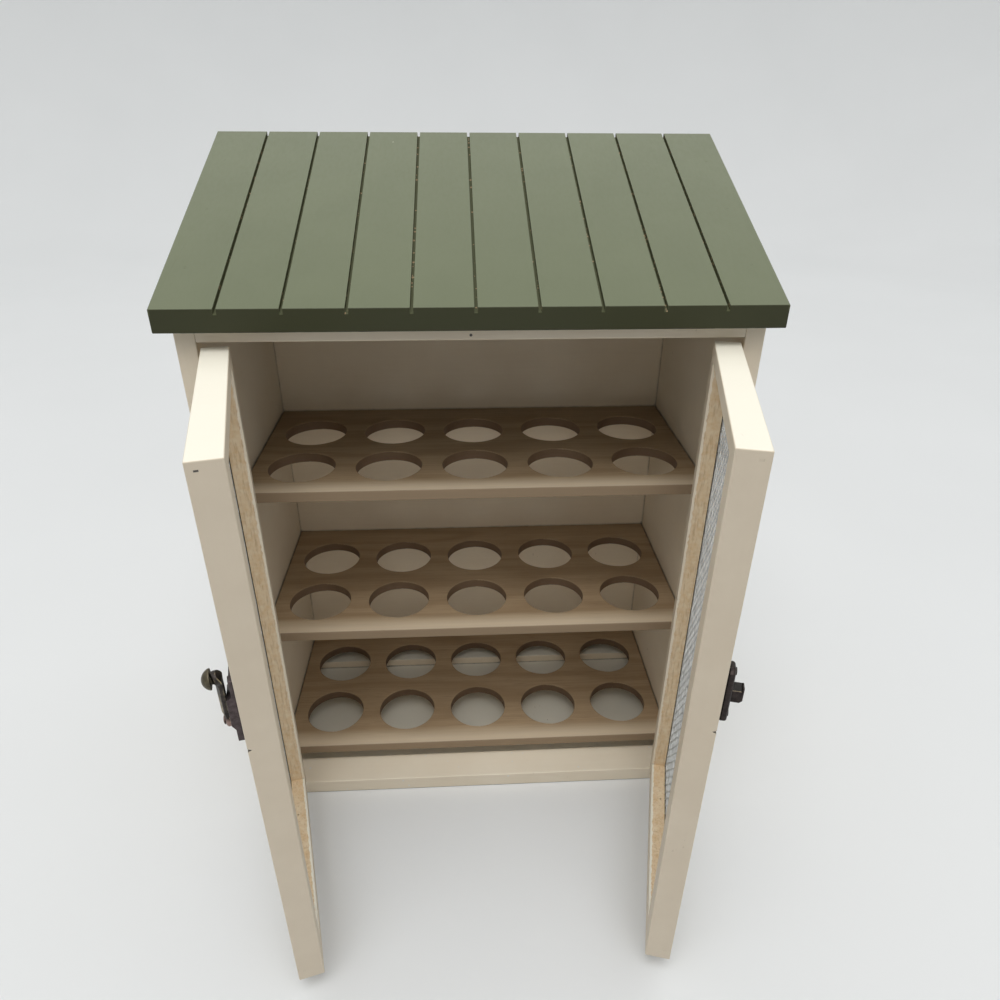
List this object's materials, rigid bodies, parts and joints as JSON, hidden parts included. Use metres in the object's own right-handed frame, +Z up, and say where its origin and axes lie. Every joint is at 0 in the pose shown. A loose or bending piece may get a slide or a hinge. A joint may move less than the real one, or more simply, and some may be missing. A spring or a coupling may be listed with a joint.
{
  "type": "egg storage cabinet",
  "caption": "Small tabletop egg house: slope-roofed wooden cabinet with hole shelves that hold eggs upright and two hinged wire-mesh doors closed by a swing latch.",
  "frame": {"origin": "centre of the underside, 290 mm by 147 mm, that the cabinet stands on", "axes": "+Z up, -Y out of the door side, +X to the right of a person who faces the doors"},
  "size_m": [0.301, 0.2771, 0.4047],
  "materials": {
    "cream_paint": "matt cream paint, worn at the edges",
    "sage_paint": "matt sage green paint",
    "bare_wood": "bare, brown-grey wash, grain along the shelf",
    "wire_mesh": "woven galvanised wire",
    "dark_bronze": "antique bronze, rubbed bright on the edges",
    "steel_brad": "plain steel brad"
  },
  "bodies": {
    "cabinet": {"side_panel_left": "cream_paint", "side_panel_right": "cream_paint", "back_panel": "cream_paint", "bottom_panel": "cream_paint", "base_front_rail": "cream_paint", "base_back_rail": "cream_paint", "top_rail": "cream_paint", "roof_board": "sage_paint", "egg_shelf_top": "bare_wood", "egg_shelf_middle": "bare_wood", "egg_shelf_bottom": "bare_wood", "side_brads": "steel_brad", "back_brads": "steel_brad", "roof_brads": "steel_brad", "rail_brad": "steel_brad", "left_upper_side_leaf": "dark_bronze", "left_lower_side_leaf": "dark_bronze", "left_hinge_pins": "dark_bronze", "left_side_hinge_screws": "dark_bronze", "right_upper_side_leaf": "dark_bronze", "right_lower_side_leaf": "dark_bronze", "right_hinge_pins": "dark_bronze", "right_side_hinge_screws": "dark_bronze"},
    "left_door": {"left_hinge_stile": "cream_paint", "left_free_stile": "cream_paint", "left_door_top_rail": "cream_paint", "left_door_bottom_rail": "cream_paint", "left_door_mesh": "wire_mesh", "left_door_brads": "steel_brad", "left_upper_door_leaf": "dark_bronze", "left_lower_door_leaf": "dark_bronze", "left_door_hinge_screws": "dark_bronze", "latch_plate": "dark_bronze", "latch_screws": "dark_bronze", "latch_rivet": "dark_bronze"},
    "latch": {"latch_lever": "dark_bronze", "latch_knob": "dark_bronze"},
    "right_door": {"right_hinge_stile": "cream_paint", "right_free_stile": "cream_paint", "right_door_top_rail": "cream_paint", "right_door_bottom_rail": "cream_paint", "right_door_mesh": "wire_mesh", "right_door_brads": "steel_brad", "right_upper_door_leaf": "dark_bronze", "right_lower_door_leaf": "dark_bronze", "right_door_hinge_screws": "dark_bronze", "keeper_plate": "dark_bronze", "keeper_screws": "dark_bronze"}
  },
  "joints": [
    {"name": "left_door_hinge", "type": "hinge", "parent": "cabinet", "child": "left_door", "pos_m": [-0.1345, -0.0753, 0.16], "axis": [0, 0, -1], "range_deg": [-75.7, 104.3]},
    {"name": "right_door_hinge", "type": "hinge", "parent": "cabinet", "child": "right_door", "pos_m": [0.1345, -0.0753, 0.16], "axis": [0, 0, 1], "range_deg": [-75.3, 104.7]},
    {"name": "latch_swing", "type": "hinge", "parent": "left_door", "child": "latch", "pos_m": [-0.10163, -0.19695, 0.1963], "axis": [-0.969, -0.247, 0], "range_deg": [-50.5, 90]}
  ]
}
